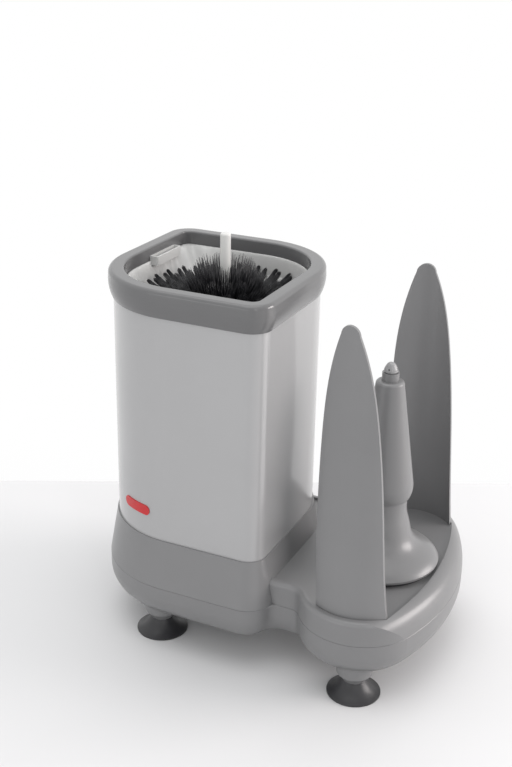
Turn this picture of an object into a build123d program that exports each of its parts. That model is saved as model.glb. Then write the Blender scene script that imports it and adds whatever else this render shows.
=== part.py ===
"""Water-driven glass washer: a brush tower and a glass rinser standing on one shared base.

Millimetres, +Z up. The origin is on the worktop, at the middle of the machine's footprint.
The tower stands towards -X and the rinser towards +X; the operator stands at -Y.
"""
from build123d import *
import os
from math import atan2, cos, hypot, pi, radians, sin

os.makedirs("parts", exist_ok=True)

# ---- Tower: a leaf-shaped section, with two tight corners and two wide ones -------------------
tower_width = 167.0
tower_depth = 178.6
corner_front_right = 17.0
corner_back_right = 75.6
corner_back_left = 18.0
corner_front_left = 78.3
rim_top = 325.8
rim_bottom = 302.8
casing_bottom = 103.6
casing_inset = 1.2
casing_wall = 1.5

# ---- Base ------------------------------------------------------------------------------------
seam_height = 61.6
base_floor = 28.0
base_corner = 22.0
plinth_flare = 7.2
plinth_opening = 71.0
shell_wall = 3.0
deck_height = 80.0
deck_lip = 2.5
deck_edge = 4.0
deck_rim = 6.5
end_rounding = 15.5
deck_end_radius = 300.0
end_drop = 24.0
rinser_spacing = 154.8
tower_setback = 7.1
lobe_reach = 67.7
lobe_radius = 51.5
lobe_centre_x = 5.4
lobe_centre_y = 58.5
neck_half_depth = 81.0
neck_blend = 12.0
seam_bevel = 0.8

# ---- Feet ------------------------------------------------------------------------------------
cup_radius = 22.5
cup_height = 13.0
boss_bottom = 20.0
boss_radius = 15.0
stud_radius = 4.0
stud_top = 42.0

# ---- Brush -----------------------------------------------------------------------------------
brush_offset = (2.5, 9.0)
shaft_radius = 5.0
shaft_bottom = 144.0
hub_radius = 32.0
hub_bottom = 262.0
hub_top = 274.0
post_radius = 4.5
post_top = 350.0
tuft_reach = 68.2
tuft_top = 306.0
tuft_count = 20

# ---- Drive -----------------------------------------------------------------------------------
gear_module = 1.0
gear_teeth = 56
pinion_teeth = 14
gear_width = 8.0
gear_bottom = 150.0
turbine_radius = 26.0
turbine_bottom = 110.0
turbine_top = 140.0
turbine_shaft_radius = 3.0
blade_count = 12

# ---- Tub -------------------------------------------------------------------------------------
tub_floor = 185.0
tub_flange_top = 296.0
tub_inset = 12.0
tub_wall = 2.5

# ---- Rinser ----------------------------------------------------------------------------------
column_foot_radius = 51.0
column_foot = 84.0
column_neck_radius = 20.8
column_top = 222.0
sleeve_top = 247.0
sleeve_bottom = 143.0
sleeve_top_radius = 12.0
sleeve_wide_radius = 25.0
sleeve_wide_height = 155.0
sleeve_wall = 2.4
collar_top = 254.0
collar_radius = 7.1
tip_radius = 5.9
tip_top = 262.8
plunger_radius = 6.0

# ---- Fins ------------------------------------------------------------------------------------
fin_radius = 44.5
fin_wall = 2.8
fin_top = 321.8
fin_lean = 10.5

# ---- Plumbing --------------------------------------------------------------------------------
pipe_height = 46.0
inlet_x = -2.0
inlet_radius = 13.2
inlet_bore = 8.0
inlet_shoulder = 14.7
drain_x = -35.0
drain_y = 49.0
drain_radius = 9.0
drain_bore = 7.0
spigot_radius = 8.5
hose_stub = 12.0
shoulder_proud = 1.0
relief_width = 1.5
relief_depth = 0.6
pipe_radius = 5.0
pipe_bore = 3.5

# ---- Clearances ------------------------------------------------------------------------------
running_gap = 0.05
fit_gap = 0.3

# ---- Bushes ----------------------------------------------------------------------------------
bush_radius = 8.0
small_bush_radius = 6.0

# ---- Places worked out from the sizes above --------------------------------------------------
half_length = (tower_width / 2 + plinth_flare + rinser_spacing + lobe_reach) / 2
tower_x = -half_length + plinth_flare + tower_width / 2
tower_y = -tower_setback
rinser_x = tower_x + rinser_spacing
brush_x = tower_x + brush_offset[0]
brush_y = tower_y + brush_offset[1]
gear_radius = gear_module * gear_teeth / 2
pinion_radius = gear_module * pinion_teeth / 2
turbine_x = brush_x + gear_radius + pinion_radius
turbine_y = brush_y
tower_back = tower_y + tower_depth / 2
casing_top = rim_top - 14.0
overhang = lobe_reach - lobe_centre_x - lobe_radius
end_arc_back = (lobe_centre_y**2 - overhang**2) / (2 * overhang)
end_arc_x = rinser_x + lobe_centre_x - end_arc_back
end_arc_radius = rinser_x + lobe_reach - end_arc_x
deck_top = deck_height + deck_lip
plinth_back = tower_back + plinth_flare
manifold_back = plinth_back - 16.0
foot_places = [
    (tower_x - 20.6, tower_y - 64.7),
    (tower_x - 56.0, tower_y + 32.0),
    (rinser_x + 12.1, -82.0),
    (rinser_x + 12.1, 82.0),
]
feed_x = turbine_x + 22.0
feed_y = turbine_y - 53.0
supply_x = turbine_x - turbine_radius + 1.0
drive_screws = [
    (brush_x - gear_radius - 9, brush_y),
    (brush_x, brush_y - gear_radius - 9),
    (brush_x, brush_y + gear_radius + 9),
    (turbine_x + pinion_radius + 12, turbine_y),
]
tower_screws = [(tower_x + 62.0, tower_y - 66.0), (tower_x - 62.0, tower_y + 66.0)]
lobe_screws = [(rinser_x + 35.0, -53.0), (rinser_x + 35.0, 53.0)]


def tower_outline(grow):
    """The tower's section, grown outwards by an amount, with its four different corners."""
    half_x = tower_width / 2 + grow
    half_y = tower_depth / 2 + grow
    with BuildSketch() as outline:
        with Locations((tower_x, tower_y)):
            Rectangle(2 * half_x, 2 * half_y)
        for side_x, side_y, radius in (
            (1, -1, corner_front_right),
            (1, 1, corner_back_right),
            (-1, 1, corner_back_left),
            (-1, -1, corner_front_left),
        ):
            corner = (tower_x + side_x * half_x, tower_y + side_y * half_y)
            fillet(outline.vertices().sort_by_distance(corner)[0], radius=radius + grow)
    return outline.sketch


def lobe_outline(grow):
    """The rinser's end of the base and the neck that joins it to the tower, from above.

    Two round lobes stand in front of and behind the rinser, and one wide arc, tangent to
    both, closes the end of the base.
    """
    lobe_x = rinser_x + lobe_centre_x
    arc_angle = atan2(lobe_centre_y, end_arc_back)
    touch_x = lobe_x + (lobe_radius + grow) * cos(arc_angle)
    touch_y = lobe_centre_y + (lobe_radius + grow) * sin(arc_angle)
    neck_left = tower_x + tower_width / 4
    with BuildSketch() as outline:
        with Locations((lobe_x, -lobe_centre_y), (lobe_x, lobe_centre_y)):
            Circle(lobe_radius + grow)
        with Locations(((neck_left + lobe_x) / 2, 0)):
            Rectangle(lobe_x - neck_left, 2 * (neck_half_depth + grow))
        with BuildLine():
            ThreePointArc(
                (touch_x, -touch_y), (rinser_x + lobe_reach + grow, 0), (touch_x, touch_y)
            )
            Polyline(
                (touch_x, touch_y), (lobe_x, lobe_centre_y), (lobe_x, -lobe_centre_y), (touch_x, -touch_y)
            )
        make_face()
        for side in (-1, 1):
            waist = (lobe_x - lobe_radius, side * (neck_half_depth + grow))
            fillet(outline.vertices().sort_by_distance(waist)[0], radius=neck_blend - grow)
    return outline.sketch


def base_outline():
    """The whole base at the seam between its two shells, with the neck blended in at the front."""
    with BuildSketch() as outline:
        add(tower_outline(plinth_flare))
        add(lobe_outline(0))
        meet = (tower_x + tower_width / 2 + plinth_flare, -neck_half_depth)
        fillet(outline.vertices().sort_by_distance(meet)[0], radius=neck_blend)
    return outline.sketch


# ---- Lower base shell: a tray with rounded bottom edges, foot bosses and screw posts ----------
with BuildPart() as tray:
    with BuildSketch(Plane.XY.offset(base_floor)):
        add(base_outline())
    extrude(amount=seam_height - base_floor)
    fillet(tray.faces().sort_by(Axis.Z)[0].edges(), radius=base_corner)
    chamfer(tray.faces().sort_by(Axis.Z)[-1].edges(), length=seam_bevel)

with BuildPart() as tray_hollow:
    with BuildSketch(Plane.XY.offset(base_floor + shell_wall)):
        add(tower_outline(plinth_flare - shell_wall))
        add(lobe_outline(-shell_wall))
    extrude(amount=seam_height - base_floor)
    fillet(tray_hollow.faces().sort_by(Axis.Z)[0].edges(), radius=base_corner - shell_wall)

with BuildPart() as lower_base_shell:
    add(tray)
    add(tray_hollow, mode=Mode.SUBTRACT)
    with BuildSketch(Plane.XY.offset(boss_bottom)):
        with Locations(*foot_places):
            Circle(boss_radius)
    extrude(amount=base_floor + shell_wall - boss_bottom)
    with BuildSketch(Plane.XY.offset(base_floor)):
        with Locations(*foot_places):
            Circle(stud_radius + 4)
    extrude(amount=stud_top - base_floor)
    with BuildSketch(Plane.XY.offset(boss_bottom)):
        with Locations(*foot_places):
            Circle(stud_radius)
    extrude(amount=stud_top - boss_bottom, mode=Mode.SUBTRACT)
    with BuildSketch(Plane.XY.offset(base_floor)):
        with Locations(*tower_screws, *lobe_screws):
            Circle(6)
    extrude(amount=seam_height - base_floor)
    with BuildSketch(Plane.XY.offset(base_floor)):
        with Locations(*tower_screws, *lobe_screws):
            Circle(2.2)
    extrude(amount=seam_height - base_floor, mode=Mode.SUBTRACT)
    with BuildSketch(Plane.XY.offset(base_floor)):
        with Locations(*tower_screws, *lobe_screws):
            Circle(4.4)
    extrude(amount=4, mode=Mode.SUBTRACT)
    with BuildSketch(Plane.XZ.offset(-(tower_back - 8))):
        with Locations((tower_x + inlet_x, pipe_height)):
            Circle(inlet_shoulder + fit_gap)
        with Locations((tower_x + drain_x, pipe_height)):
            Circle(drain_radius + fit_gap)
    extrude(amount=-30, mode=Mode.SUBTRACT)
lower_base_shell.part.label = "lower_base_shell"
export_step(lower_base_shell.part, "parts/lower_base_shell.step")

# ---- Upper base shell: flared plinth, neck and recessed rinsing deck --------------------------

def end_cutter(inset):
    """The waste outside the soft shoulder at the rinser's end, sunk by a wall's thickness."""
    end_x = rinser_x + lobe_reach - inset
    top = deck_top - inset
    with BuildPart() as waste:
        with BuildSketch(Plane.XZ):
            with BuildLine():
                Bezier(
                    (end_x, top - end_drop),
                    (end_x, top - end_drop / 3),
                    (end_x - end_rounding / 3, top),
                    (end_x - end_rounding, top),
                )
                Polyline(
                    (end_x - end_rounding, top),
                    (end_x - end_rounding, top + 5),
                    (end_x + 5, top + 5),
                    (end_x + 5, top - end_drop),
                    (end_x, top - end_drop),
                )
            make_face()
        revolve(axis=Axis((end_arc_x, 0, 0), (0, 0, 1)))
    return waste.part


outer_waste = end_cutter(0)
inner_waste = end_cutter(shell_wall)

with BuildPart() as deck_block:
    with BuildSketch(Plane.XY.offset(seam_height)):
        add(lobe_outline(0))
    extrude(amount=deck_top - seam_height)
    fillet(deck_block.faces().sort_by(Axis.Z)[-1].edges(), radius=deck_edge)
    add(outer_waste, mode=Mode.SUBTRACT)
    with BuildSketch(Plane.XY.offset(deck_height)):
        add(lobe_outline(-deck_rim))
        with Locations((rinser_x + lobe_reach - end_rounding - deck_end_radius, 0)):
            Circle(deck_end_radius, mode=Mode.INTERSECT)
    extrude(amount=2 * deck_lip, mode=Mode.SUBTRACT)

with BuildPart() as deck_hollow:
    with BuildSketch(Plane.XY.offset(seam_height)):
        add(lobe_outline(-shell_wall))
    extrude(amount=deck_height - shell_wall - seam_height)
    add(inner_waste, mode=Mode.SUBTRACT)

with BuildPart() as upper_base_shell:
    with BuildSketch(Plane.XY.offset(seam_height)):
        add(tower_outline(plinth_flare))
    with BuildSketch(Plane.XY.offset(casing_bottom)):
        add(tower_outline(0))
    loft(ruled=True)
    add(deck_block)
    with BuildSketch(Plane.XY.offset(seam_height)):
        add(tower_outline(plinth_flare - shell_wall))
    with BuildSketch(Plane.XY.offset(casing_bottom - shell_wall)):
        add(tower_outline(-shell_wall))
    loft(ruled=True, mode=Mode.SUBTRACT)
    add(deck_hollow, mode=Mode.SUBTRACT)
    with BuildSketch(Plane.XY.offset(casing_bottom - shell_wall)):
        with Locations((tower_x, tower_y)):
            Circle(plinth_opening)
    extrude(amount=2 * shell_wall, mode=Mode.SUBTRACT)
    with BuildSketch(Plane.XY.offset(casing_bottom)):
        add(tower_outline(-casing_inset - casing_wall - fit_gap))
        add(tower_outline(-casing_inset - casing_wall - fit_gap - 2), mode=Mode.SUBTRACT)
    extrude(amount=12)
    with BuildSketch(Plane.XY.offset(seam_height)):
        with Locations(*tower_screws):
            Circle(6)
    extrude(amount=casing_bottom - shell_wall - seam_height)
    with BuildSketch(Plane.XY.offset(seam_height)):
        with Locations(*lobe_screws):
            Circle(6)
    extrude(amount=deck_height - shell_wall - seam_height)
    with BuildSketch(Plane.XY.offset(seam_height)):
        with Locations(*tower_screws, *lobe_screws):
            Circle(1.6)
    extrude(amount=12, mode=Mode.SUBTRACT)
    with BuildSketch(Plane.XY.offset(deck_height - shell_wall)):
        with Locations((rinser_x, 0)):
            Circle(plunger_radius + 3)
    extrude(amount=shell_wall, mode=Mode.SUBTRACT)
upper_base_shell.part.label = "upper_base_shell"
export_step(upper_base_shell.part, "parts/upper_base_shell.step")

# ---- Base screws, from below ------------------------------------------------------------------
with BuildPart() as base_screws:
    with BuildSketch(Plane.XY.offset(base_floor + 1)):
        with Locations(*tower_screws, *lobe_screws):
            Circle(3.6)
    extrude(amount=3)
    with BuildSketch(Plane.XY.offset(base_floor + 4)):
        with Locations(*tower_screws, *lobe_screws):
            Circle(1.6)
    extrude(amount=seam_height + 10 - base_floor - 4)
base_screws.part.label = "base_screws"
export_step(base_screws.part, "parts/base_screws.step")

# ---- Feet: a stem cone on a threaded stud, and a rubber suction cup ----------------------------
with BuildPart() as foot_stems:
    for place in foot_places:
        with BuildSketch(Plane.XZ.offset(-place[1])):
            with BuildLine():
                Polyline(
                    (place[0], cup_height - 5),
                    (place[0] + 5, cup_height - 5),
                    (place[0] + 5, cup_height),
                    (place[0] + 9.5, cup_height),
                    (place[0] + boss_radius - 0.5, boss_bottom),
                    (place[0] + stud_radius, boss_bottom),
                    (place[0] + stud_radius, stud_top),
                    (place[0], stud_top),
                    close=True,
                )
            make_face()
        revolve(axis=Axis((place[0], place[1], 0), (0, 0, 1)))
foot_stems.part.label = "foot_stems"
export_step(foot_stems.part, "parts/foot_stems.step")

with BuildPart() as suction_cups:
    for place in foot_places:
        with BuildSketch(Plane.XZ.offset(-place[1])):
            with BuildLine():
                Polyline(
                    (place[0], 3),
                    (place[0] + cup_radius - 4, 0),
                    (place[0] + cup_radius, 0),
                    (place[0] + cup_radius, 1.2),
                )
                ThreePointArc(
                    (place[0] + cup_radius, 1.2), (place[0] + 15, 6), (place[0] + 9.5, cup_height)
                )
                Polyline(
                    (place[0] + 9.5, cup_height),
                    (place[0] + 5, cup_height),
                    (place[0] + 5, cup_height - 5),
                    (place[0], cup_height - 5),
                    (place[0], 3),
                )
            make_face()
        revolve(axis=Axis((place[0], place[1], 0), (0, 0, 1)))
suction_cups.part.label = "suction_cups"
export_step(suction_cups.part, "parts/suction_cups.step")

# ---- Tower casing: folded and painted sheet ---------------------------------------------------
with BuildPart() as tower_casing:
    with BuildSketch(Plane.XY.offset(casing_bottom)):
        add(tower_outline(-casing_inset))
        add(tower_outline(-casing_inset - casing_wall), mode=Mode.SUBTRACT)
    extrude(amount=casing_top - casing_bottom)
tower_casing.part.label = "tower_casing"
export_step(tower_casing.part, "parts/tower_casing.step")

# ---- Rim: a moulded hook section swept round the tower's outline -------------------------------
rim_path = tower_outline(0).wire()
rim_start = rim_path @ 0
rim_along = rim_path % 0
rim_inward = Vector(0, 0, 1).cross(rim_along)
rim_plane = Plane(origin=(rim_start.X, rim_start.Y, 0), x_dir=rim_inward, z_dir=rim_along)
slot_outer = casing_inset - fit_gap
slot_inner = casing_inset + casing_wall + fit_gap
rim_land = 10.5
rim_bulge = 3.0
rim_edge = 3.6
with BuildPart() as tower_rim:
    with BuildSketch(rim_plane):
        with BuildLine():
            ThreePointArc(
                (0, rim_bottom), (-rim_bulge + 0.7, rim_bottom + 7), (-rim_bulge, rim_bottom + 14)
            )
            Line((-rim_bulge, rim_bottom + 14), (-rim_bulge + 0.3, rim_top - rim_edge))
            ThreePointArc(
                (-rim_bulge + 0.3, rim_top - rim_edge),
                (-rim_bulge + 0.3 + 0.29 * rim_edge, rim_top - 0.29 * rim_edge),
                (-rim_bulge + 0.3 + rim_edge, rim_top),
            )
            Line((-rim_bulge + 0.3 + rim_edge, rim_top), (rim_land - 1.5, rim_top))
            RadiusArc((rim_land - 1.5, rim_top), (rim_land, rim_top - 1.5), 1.5)
            Polyline(
                (rim_land, rim_top - 1.5),
                (rim_land, tub_flange_top),
                (rim_land - 2.5, tub_flange_top),
                (rim_land - 2.5, rim_top - 4),
                (slot_inner + 1.5, rim_top - 4),
                (slot_inner + 1.5, rim_bottom + 2),
                (slot_inner, rim_bottom + 2),
                (slot_inner, casing_top + fit_gap),
                (slot_outer, casing_top + fit_gap),
                (slot_outer, rim_bottom),
                (0, rim_bottom),
            )
        make_face()
    sweep(path=rim_path)
tower_rim.part.label = "tower_rim"
export_step(tower_rim.part, "parts/tower_rim.step")

# ---- Wash tub: floor, walls, flange under the rim, shaft boss and drain hole --------------------
with BuildPart() as wash_tub:
    with BuildSketch(Plane.XY.offset(tub_floor - shell_wall)):
        add(tower_outline(-tub_inset))
    extrude(amount=tub_flange_top - tub_floor + shell_wall)
    with BuildSketch(Plane.XY.offset(tub_flange_top - tub_wall)):
        add(tower_outline(-slot_inner - fit_gap))
    extrude(amount=tub_wall)
    with BuildSketch(Plane.XY.offset(tub_floor)):
        add(tower_outline(-tub_inset - tub_wall))
    extrude(amount=tub_flange_top - tub_floor, mode=Mode.SUBTRACT)
    with BuildSketch(Plane.XY.offset(tub_floor - shell_wall)):
        with Locations((brush_x, brush_y)):
            Circle(13)
    extrude(amount=33)
    with BuildSketch(Plane.XY.offset(tub_floor - shell_wall)):
        with Locations((brush_x, brush_y)):
            Circle(bush_radius)
        with Locations((tower_x + drain_x, tower_y + drain_y)):
            Circle(drain_radius)
        with Locations((feed_x, feed_y)):
            Circle(pipe_radius)
    extrude(amount=33, mode=Mode.SUBTRACT)
    with BuildSketch(Plane.XY.offset(tub_floor - shell_wall)):
        with Locations(*drive_screws):
            Circle(1.6)
    extrude(amount=2.5, mode=Mode.SUBTRACT)
wash_tub.part.label = "wash_tub"
export_step(wash_tub.part, "parts/wash_tub.step")

# ---- Splash ring: a light fluted collar lying on the tub's flange inside the rim ----------------
flute_count = 36
ring_outer = rim_land + fit_gap
ring_throat = 62.0
with BuildPart() as splash_ring:
    with BuildSketch(Plane.XY.offset(tub_flange_top)):
        add(tower_outline(-ring_outer))
        with Locations((brush_x, brush_y)):
            Circle(ring_throat + 4, mode=Mode.SUBTRACT)
    extrude(amount=2)
    with BuildSketch(Plane.XZ.offset(-brush_y)):
        with BuildLine():
            Polyline(
                (brush_x + ring_throat - 6, tub_flange_top - 10),
                (brush_x + ring_throat - 4, tub_flange_top - 10),
                (brush_x + ring_throat + 4, tub_flange_top),
                (brush_x + ring_throat + 4, tub_flange_top + 2),
                (brush_x + ring_throat + 2, tub_flange_top + 2),
                close=True,
            )
        make_face()
    revolve(axis=Axis((brush_x, brush_y, 0), (0, 0, 1)))
    with BuildSketch(Plane.XY.offset(tub_flange_top - 10)):
        with Locations((brush_x, brush_y)):
            with PolarLocations(ring_throat - 6, flute_count):
                Circle(1.6)
    extrude(amount=6, mode=Mode.SUBTRACT)
splash_ring.part.label = "splash_ring"
export_step(splash_ring.part, "parts/splash_ring.step")

# ---- Detergent cup: a shallow pocket on the rim's inner left wall, above the turning tufts ------
cup_back = tower_x - tower_width / 2 + rim_land
cup_depth = 8.0
cup_front_y = tower_y + 13.0
cup_length = 42.0
cup_top = rim_top - 7.5
cup_rise = 8.0
cup_wall = 1.5
with BuildPart() as detergent_cup:
    with BuildSketch(Plane.XY.offset(cup_top - cup_rise)):
        with Locations((cup_back, cup_front_y)):
            Rectangle(cup_depth, cup_length, align=(Align.MIN, Align.MIN))
    extrude(amount=cup_rise)
    fillet(detergent_cup.edges().filter_by(Axis.Z).group_by(Axis.X)[-1], radius=2)
    with BuildSketch(Plane.XY.offset(cup_top - cup_rise + cup_wall)):
        with Locations((cup_back + cup_wall, cup_front_y + cup_wall)):
            Rectangle(
                cup_depth - 2 * cup_wall, cup_length - 2 * cup_wall, align=(Align.MIN, Align.MIN)
            )
    extrude(amount=cup_rise, mode=Mode.SUBTRACT)
detergent_cup.part.label = "detergent_cup"
export_step(detergent_cup.part, "parts/detergent_cup.step")

# ---- Brush: tufts leaning out of a turning hub --------------------------------------------------


def tuft_planes(count, root_radius, root_height, tip_radius, tip_height):
    """One plane for each tuft of a crown, at its root and facing its tip."""
    lean = atan2(tip_height - root_height, tip_radius - root_radius)
    planes = []
    for step in range(count):
        turn = 2 * pi * step / count
        root = (brush_x + root_radius * cos(turn), brush_y + root_radius * sin(turn), root_height)
        aim = (cos(lean) * cos(turn), cos(lean) * sin(turn), sin(lean))
        planes.append(Plane(origin=root, z_dir=aim))
    return planes


tuft_root = (24.0, hub_top - 5.0)
tuft_length = hypot(tuft_reach - tuft_root[0], tuft_top - tuft_root[1])
with BuildPart() as outer_tufts:
    with Locations(*tuft_planes(tuft_count, *tuft_root, tuft_reach, tuft_top)):
        Cone(3.2, 2.0, tuft_length, align=(Align.CENTER, Align.CENTER, Align.MIN))
outer_tufts.part.label = "outer_tufts"
export_step(outer_tufts.part, "parts/outer_tufts.step")

crown_root = (15.5, hub_top - 4.0)
crown_tip = (45.0, 322.0)
crown_length = hypot(crown_tip[0] - crown_root[0], crown_tip[1] - crown_root[1])
heart_root = (9.5, hub_top - 4.0)
heart_tip = (23.0, 341.0)
heart_length = hypot(heart_tip[0] - heart_root[0], heart_tip[1] - heart_root[1])
with BuildPart() as inner_tufts:
    with Locations(*tuft_planes(12, *crown_root, *crown_tip)):
        Cone(2.9, 2.2, crown_length, align=(Align.CENTER, Align.CENTER, Align.MIN))
    with Locations(*tuft_planes(8, *heart_root, *heart_tip)):
        Cone(2.5, 1.8, heart_length, align=(Align.CENTER, Align.CENTER, Align.MIN))
inner_tufts.part.label = "inner_tufts"
export_step(inner_tufts.part, "parts/inner_tufts.step")

with BuildPart() as brush_hub:
    with Locations((brush_x, brush_y, hub_bottom)):
        Cylinder(hub_radius, hub_top - hub_bottom, align=(Align.CENTER, Align.CENTER, Align.MIN))
    fillet(brush_hub.edges().group_by(Axis.Z)[-1], radius=3)
    with BuildSketch(Plane.XY.offset(hub_bottom - 8)):
        with Locations((brush_x, brush_y)):
            Circle(hub_radius - 4)
            Circle(hub_radius - 6, mode=Mode.SUBTRACT)
    extrude(amount=8)
    with Locations((brush_x, brush_y, hub_bottom)):
        Cylinder(shaft_radius, 4, align=(Align.CENTER, Align.CENTER, Align.MIN), mode=Mode.SUBTRACT)
    with Locations((brush_x, brush_y, hub_top - 4)):
        Cylinder(post_radius, 4, align=(Align.CENTER, Align.CENTER, Align.MIN), mode=Mode.SUBTRACT)
    add(outer_tufts, mode=Mode.SUBTRACT)
    add(inner_tufts, mode=Mode.SUBTRACT)
brush_hub.part.label = "brush_hub"
export_step(brush_hub.part, "parts/brush_hub.step")

with BuildPart() as centre_post:
    with Locations((brush_x, brush_y, hub_top - 4)):
        Cylinder(post_radius, post_top - hub_top + 4, align=(Align.CENTER, Align.CENTER, Align.MIN))
    fillet(centre_post.edges().group_by(Axis.Z)[-1], radius=2)
centre_post.part.label = "centre_post"
export_step(centre_post.part, "parts/centre_post.step")

with BuildPart() as brush_shaft:
    with Locations((brush_x, brush_y, shaft_bottom)):
        Cylinder(
            shaft_radius, hub_bottom + 4 - shaft_bottom, align=(Align.CENTER, Align.CENTER, Align.MIN)
        )
brush_shaft.part.label = "brush_shaft"
export_step(brush_shaft.part, "parts/brush_shaft.step")


def ring(centre, bottom, top, outer, inner):
    """A plain upright ring: bushes, seals, gaskets and collars."""
    with BuildPart() as made:
        with BuildSketch(Plane.XY.offset(bottom)):
            with Locations(centre):
                Circle(outer)
                Circle(inner, mode=Mode.SUBTRACT)
        extrude(amount=top - bottom)
    return made.part


def export_ring(name, centre, bottom, top, outer, inner):
    """Makes a ring and writes it as its own piece."""
    piece = ring(centre, bottom, top, outer, inner)
    piece.label = name
    export_step(piece, "parts/" + name + ".step")


brush_axis = (brush_x, brush_y)
turbine_axis = (turbine_x, turbine_y)
rinse_axis = (rinser_x, 0)
box_floor = turbine_top + shell_wall
boss_top = tub_floor - shell_wall + 33
seal_height = 3.0
export_ring(
    "upper_bush", brush_axis, tub_floor - shell_wall, boss_top - seal_height, bush_radius,
    shaft_radius + running_gap,
)
export_ring(
    "shaft_seal", brush_axis, boss_top - seal_height, boss_top, bush_radius, shaft_radius + running_gap
)
export_ring("lower_bush", brush_axis, box_floor, box_floor + 6, bush_radius, shaft_radius + running_gap)
export_ring(
    "turbine_lower_bush", turbine_axis, turbine_bottom + 3, turbine_bottom + 8, small_bush_radius,
    turbine_shaft_radius + running_gap,
)
export_ring(
    "turbine_upper_bush", turbine_axis, turbine_top, box_floor + 3, small_bush_radius,
    turbine_shaft_radius + running_gap,
)
export_ring(
    "turbine_gasket", turbine_axis, turbine_top - 1, turbine_top, turbine_radius + 6, turbine_radius + 3
)
export_ring("column_gasket", rinse_axis, deck_height, column_foot, 47, 40)

# ---- Gears --------------------------------------------------------------------------------------


def gear_outline(centre, teeth, turn):
    """A toothed disc with straight-flanked teeth and generous backlash."""
    pitch = gear_module * teeth / 2
    with BuildSketch() as outline:
        with Locations(centre):
            Circle(pitch - 1.1 * gear_module)
        for tooth in range(teeth):
            middle = radians(turn) + 2 * pi * tooth / teeth
            corners = []
            for radius, half in (
                (pitch - 1.3 * gear_module, 0.95 * gear_module),
                (pitch, 0.62 * gear_module),
                (pitch + 0.8 * gear_module, 0.32 * gear_module),
            ):
                corners.append((radius, half / radius))
            around = [(radius, middle - spread) for radius, spread in corners]
            around += [(radius, middle + spread) for radius, spread in reversed(corners)]
            with BuildLine():
                Polyline(
                    *[(centre[0] + r * cos(a), centre[1] + r * sin(a)) for r, a in around], close=True
                )
            make_face()
    return outline.sketch


with BuildPart() as brush_gear:
    with BuildSketch(Plane.XY.offset(gear_bottom)):
        add(gear_outline(brush_axis, gear_teeth, 0))
        with Locations(brush_axis):
            Circle(shaft_radius, mode=Mode.SUBTRACT)
    extrude(amount=gear_width)
brush_gear.part.label = "brush_gear"
export_step(brush_gear.part, "parts/brush_gear.step")

with BuildPart() as turbine_pinion:
    with BuildSketch(Plane.XY.offset(gear_bottom)):
        add(gear_outline(turbine_axis, pinion_teeth, 180 / pinion_teeth))
        with Locations(turbine_axis):
            Circle(turbine_shaft_radius, mode=Mode.SUBTRACT)
    extrude(amount=gear_width)
turbine_pinion.part.label = "turbine_pinion"
export_step(turbine_pinion.part, "parts/turbine_pinion.step")

# ---- Turbine ------------------------------------------------------------------------------------
with BuildPart() as turbine_shaft:
    with Locations((turbine_x, turbine_y, turbine_bottom + 3.5)):
        Cylinder(
            turbine_shaft_radius,
            gear_bottom + gear_width + 2 - turbine_bottom - 3.5,
            align=(Align.CENTER, Align.CENTER, Align.MIN),
        )
turbine_shaft.part.label = "turbine_shaft"
export_step(turbine_shaft.part, "parts/turbine_shaft.step")

with BuildPart() as turbine_wheel:
    with BuildSketch(Plane.XY.offset(turbine_bottom + 9)):
        with Locations(turbine_axis):
            Circle(turbine_radius)
    extrude(amount=2)
    with BuildSketch(Plane.XY.offset(turbine_bottom + 11)):
        with Locations(turbine_axis):
            Circle(8)
            with PolarLocations(turbine_radius / 2 + 3, blade_count):
                Rectangle(turbine_radius - 6, 2)
    extrude(amount=14)
    with BuildSketch(Plane.XY.offset(turbine_bottom + 9)):
        with Locations(turbine_axis):
            Circle(turbine_shaft_radius)
    extrude(amount=16, mode=Mode.SUBTRACT)
turbine_wheel.part.label = "turbine_wheel"
export_step(turbine_wheel.part, "parts/turbine_wheel.step")

with BuildPart() as turbine_housing:
    with BuildSketch(Plane.XY.offset(turbine_bottom)):
        with Locations(turbine_axis):
            Circle(turbine_radius + 6)
            with PolarLocations(turbine_radius + 8, 3, start_angle=30):
                Circle(4)
    extrude(amount=turbine_top - 1 - turbine_bottom)
    with BuildSketch(Plane.XZ.offset(-(turbine_y + 35))):
        with Locations((supply_x, turbine_bottom + 16)):
            Circle(pipe_radius + 1.5)
    extrude(amount=20)
    with BuildSketch(Plane.XZ.offset(-(turbine_y - 15))):
        with Locations((feed_x, turbine_bottom + 16)):
            Circle(pipe_radius + 1.5)
    extrude(amount=20)
    with BuildSketch(Plane.XY.offset(turbine_bottom + 3)):
        with Locations(turbine_axis):
            Circle(turbine_radius + 3)
    extrude(amount=turbine_top - turbine_bottom, mode=Mode.SUBTRACT)
    with BuildSketch(Plane.XZ.offset(-(turbine_y + 35))):
        with Locations((supply_x, turbine_bottom + 16)):
            Circle(pipe_bore)
    extrude(amount=30, mode=Mode.SUBTRACT)
    with BuildSketch(Plane.XZ.offset(-(turbine_y - 10))):
        with Locations((feed_x, turbine_bottom + 16)):
            Circle(pipe_bore)
    extrude(amount=30, mode=Mode.SUBTRACT)
    with BuildSketch(Plane.XY.offset(turbine_bottom + 3)):
        with Locations(turbine_axis):
            Circle(small_bush_radius + 3)
            Circle(small_bush_radius, mode=Mode.SUBTRACT)
    extrude(amount=5)
    with BuildSketch(Plane.XY.offset(turbine_bottom)):
        with Locations(turbine_axis):
            with PolarLocations(turbine_radius + 8, 3, start_angle=30):
                Circle(1.5)
    extrude(amount=turbine_top - turbine_bottom, mode=Mode.SUBTRACT)
turbine_housing.part.label = "turbine_housing"
export_step(turbine_housing.part, "parts/turbine_housing.step")

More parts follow.
